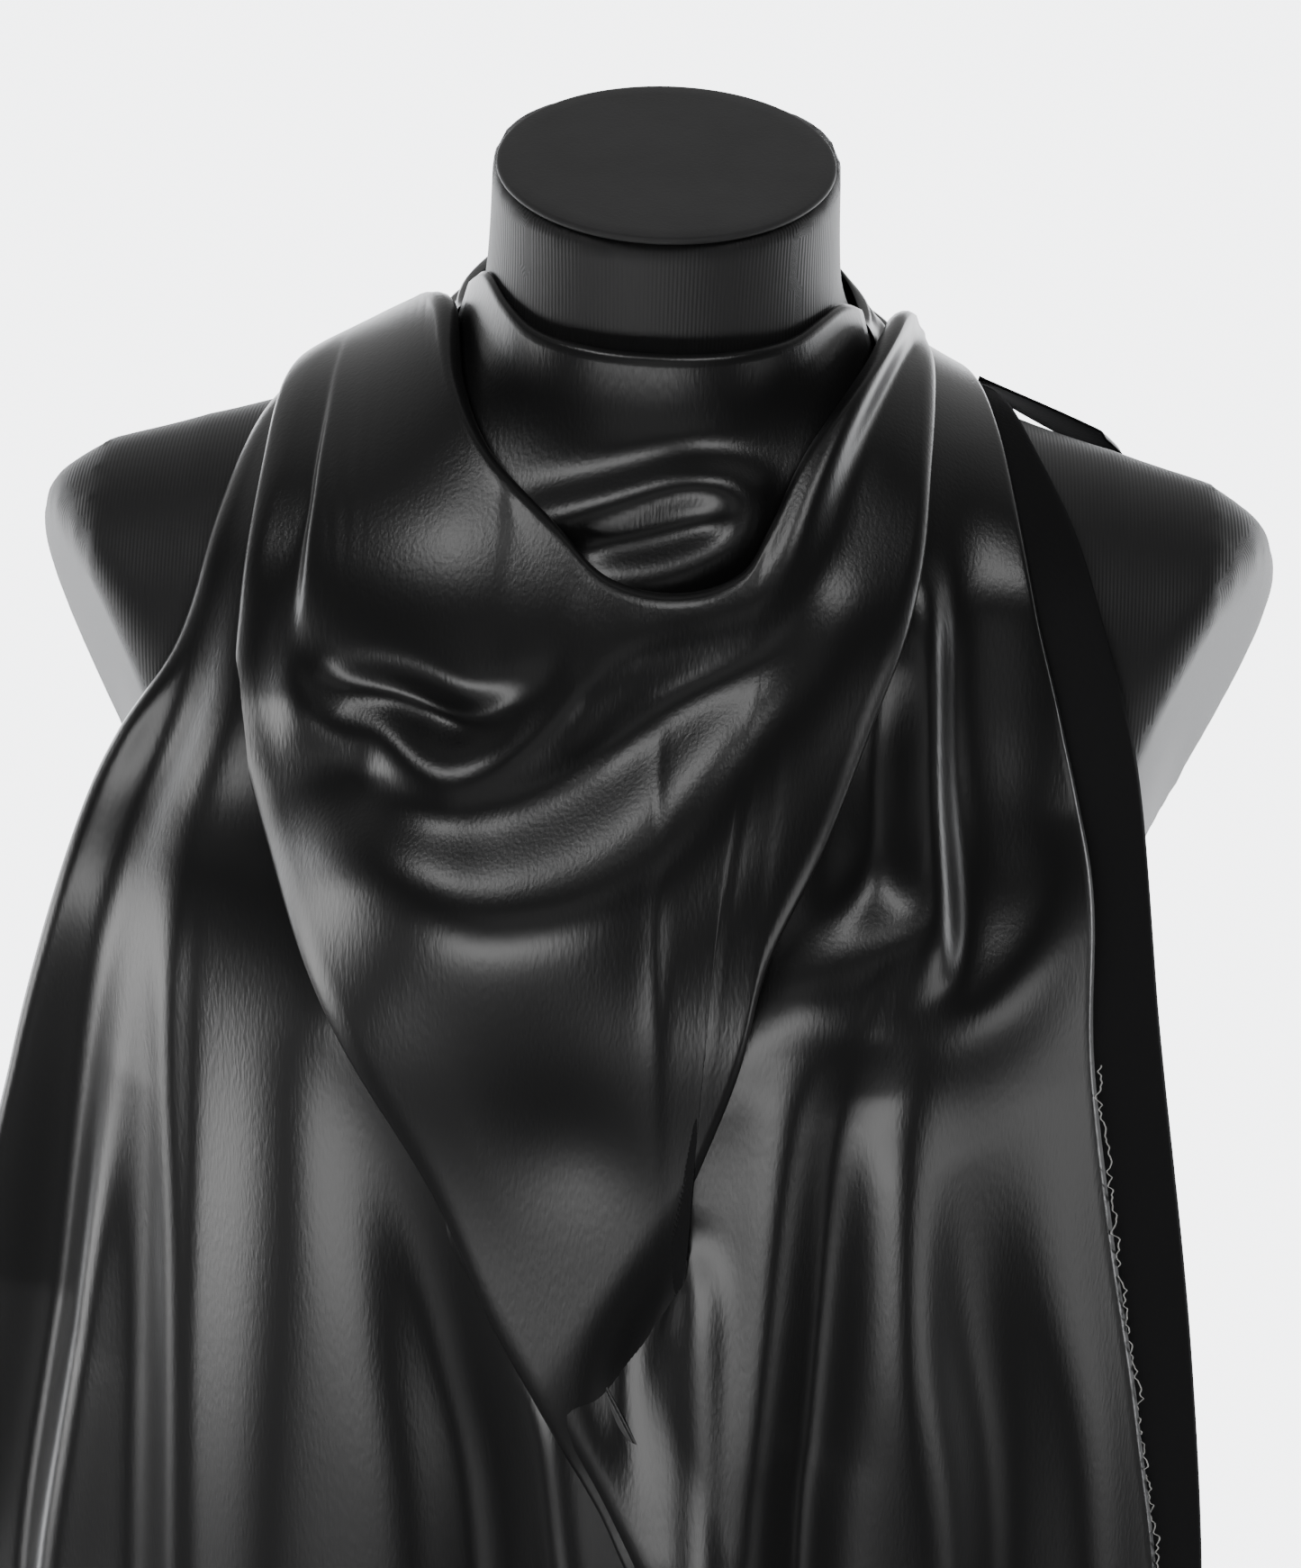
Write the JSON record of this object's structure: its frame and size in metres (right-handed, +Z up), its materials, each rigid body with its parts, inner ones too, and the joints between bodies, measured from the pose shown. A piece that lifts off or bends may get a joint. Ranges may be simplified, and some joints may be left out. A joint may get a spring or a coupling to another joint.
{
  "type": "dress form mannequin",
  "caption": "Headless, armless torso form in stretch jersey with satin draped over its front, on a folding, height-adjustable tripod stand.",
  "frame": {"origin": "on the floor, under the middle of the whole object's box; the stand's pole stands 77 mm in front of it", "axes": "+Z up, -Y the way the form faces, +X the form's left"},
  "size_m": [0.5736, 0.4968, 1.4325],
  "materials": {
    "jersey": "soft gloss stretch jersey with fine ribs",
    "neck_cap": "matte black disc with a faint sheen",
    "moulded_shell": "moulded, matte",
    "plywood": "sanded birch plywood",
    "satin": "silk satin, lustrous face and dull back",
    "stand_paint": "black powder coat",
    "pole_chrome": "polished",
    "zinc": "zinc plated",
    "rubber": "matte",
    "knob_plastic": "fine texture"
  },
  "bodies": {
    "column": {"column_tube": "stand_paint", "column_end_cap": "knob_plastic", "height_clamp": "knob_plastic", "leg_hub": "stand_paint", "leg_pin_1": "zinc", "leg_pin_2": "zinc", "leg_pin_3": "zinc"},
    "pole": {"inner_pole": "pole_chrome", "pole_glide": "knob_plastic"},
    "torso": {"torso_shell": "moulded_shell", "jersey_cover": "jersey", "arm_board_left": "plywood", "arm_board_right": "plywood", "neck_board": "plywood", "neck_cap": "neck_cap", "base_board": "plywood", "pole_socket": "stand_paint", "flange_screw_1": "zinc", "flange_screw_2": "zinc", "flange_screw_3": "zinc", "flange_screw_4": "zinc", "satin_drape": "satin", "drape_pin_1": "zinc", "drape_pin_2": "zinc"},
    "torso_lock_knob": {"torso_lock_knob": "knob_plastic"},
    "height_knob": {"height_knob": "knob_plastic"},
    "leg_1": {"leg_1": "stand_paint", "foot_1": "rubber", "strut_pin_1": "zinc"},
    "leg_2": {"leg_2": "stand_paint", "foot_2": "rubber", "strut_pin_2": "zinc"},
    "leg_3": {"leg_3": "stand_paint", "foot_3": "rubber", "strut_pin_3": "zinc"},
    "strut_1": {"strut_1": "stand_paint", "collar_pin_1": "zinc"},
    "strut_2": {"strut_2": "stand_paint", "collar_pin_2": "zinc"},
    "strut_3": {"strut_3": "stand_paint", "collar_pin_3": "zinc"},
    "collar": {"slide_collar": "knob_plastic"},
    "collar_knob": {"collar_knob": "knob_plastic"}
  },
  "joints": [
    {"name": "height_slide", "type": "slide", "parent": "column", "child": "pole", "axis": [0, 0, 1], "range_m": [-0.06, 0.2]},
    {"name": "torso_swivel", "type": "hinge", "parent": "pole", "child": "torso", "pos_m": [0, -0.077, 0.69], "axis": [0, 0, 1], "continuous": true},
    {"name": "torso_lock_turn", "type": "hinge", "parent": "torso", "child": "torso_lock_knob", "pos_m": [0, -0.037, 0.668], "axis": [0, 1, 0], "range_deg": [0, 300]},
    {"name": "height_lock_turn", "type": "hinge", "parent": "column", "child": "height_knob", "pos_m": [0, -0.037, 0.57], "axis": [0, 1, 0], "range_deg": [0, 300]},
    {"name": "leg_1_fold", "type": "hinge", "parent": "column", "child": "leg_1", "pos_m": [0, -0.041, 0.33], "axis": [-1, 0, 0], "range_deg": [0, 35]},
    {"name": "leg_2_fold", "type": "hinge", "parent": "column", "child": "leg_2", "pos_m": [-0.03118, -0.095, 0.33], "axis": [0.5, -0.866, 0], "range_deg": [0, 35]},
    {"name": "leg_3_fold", "type": "hinge", "parent": "column", "child": "leg_3", "pos_m": [0.03118, -0.095, 0.33], "axis": [0.5, 0.866, 0], "range_deg": [0, 35]},
    {"name": "strut_1_fold", "type": "hinge", "parent": "leg_1", "child": "strut_1", "pos_m": [0, 0.05542, 0.21509], "axis": [-1, 0, 0], "range_deg": [-70, 0]},
    {"name": "strut_2_fold", "type": "hinge", "parent": "leg_2", "child": "strut_2", "pos_m": [-0.11468, -0.14321, 0.21509], "axis": [0.5, -0.866, 0], "range_deg": [-70, 0]},
    {"name": "strut_3_fold", "type": "hinge", "parent": "leg_3", "child": "strut_3", "pos_m": [0.11468, -0.14321, 0.21509], "axis": [0.5, 0.866, 0], "range_deg": [-70, 0]},
    {"name": "collar_slide", "type": "slide", "parent": "column", "child": "collar", "axis": [0, 0, 1], "range_m": [-0.0691, 0]},
    {"name": "collar_lock_turn", "type": "hinge", "parent": "collar", "child": "collar_knob", "pos_m": [-0.03464, -0.057, 0.10019], "axis": [-0.866, 0.5, 0], "range_deg": [0, 300]}
  ],
  "couplings": [
    {"joint": "leg_2_fold", "follows": "leg_1_fold", "ratio": 1},
    {"joint": "leg_3_fold", "follows": "leg_1_fold", "ratio": 1},
    {"joint": "strut_1_fold", "follows": "leg_1_fold", "ratio": -2},
    {"joint": "strut_2_fold", "follows": "leg_1_fold", "ratio": -2},
    {"joint": "strut_3_fold", "follows": "leg_1_fold", "ratio": -2},
    {"joint": "collar_slide", "follows": "leg_1_fold", "m_per_rad": -0.11303}
  ]
}
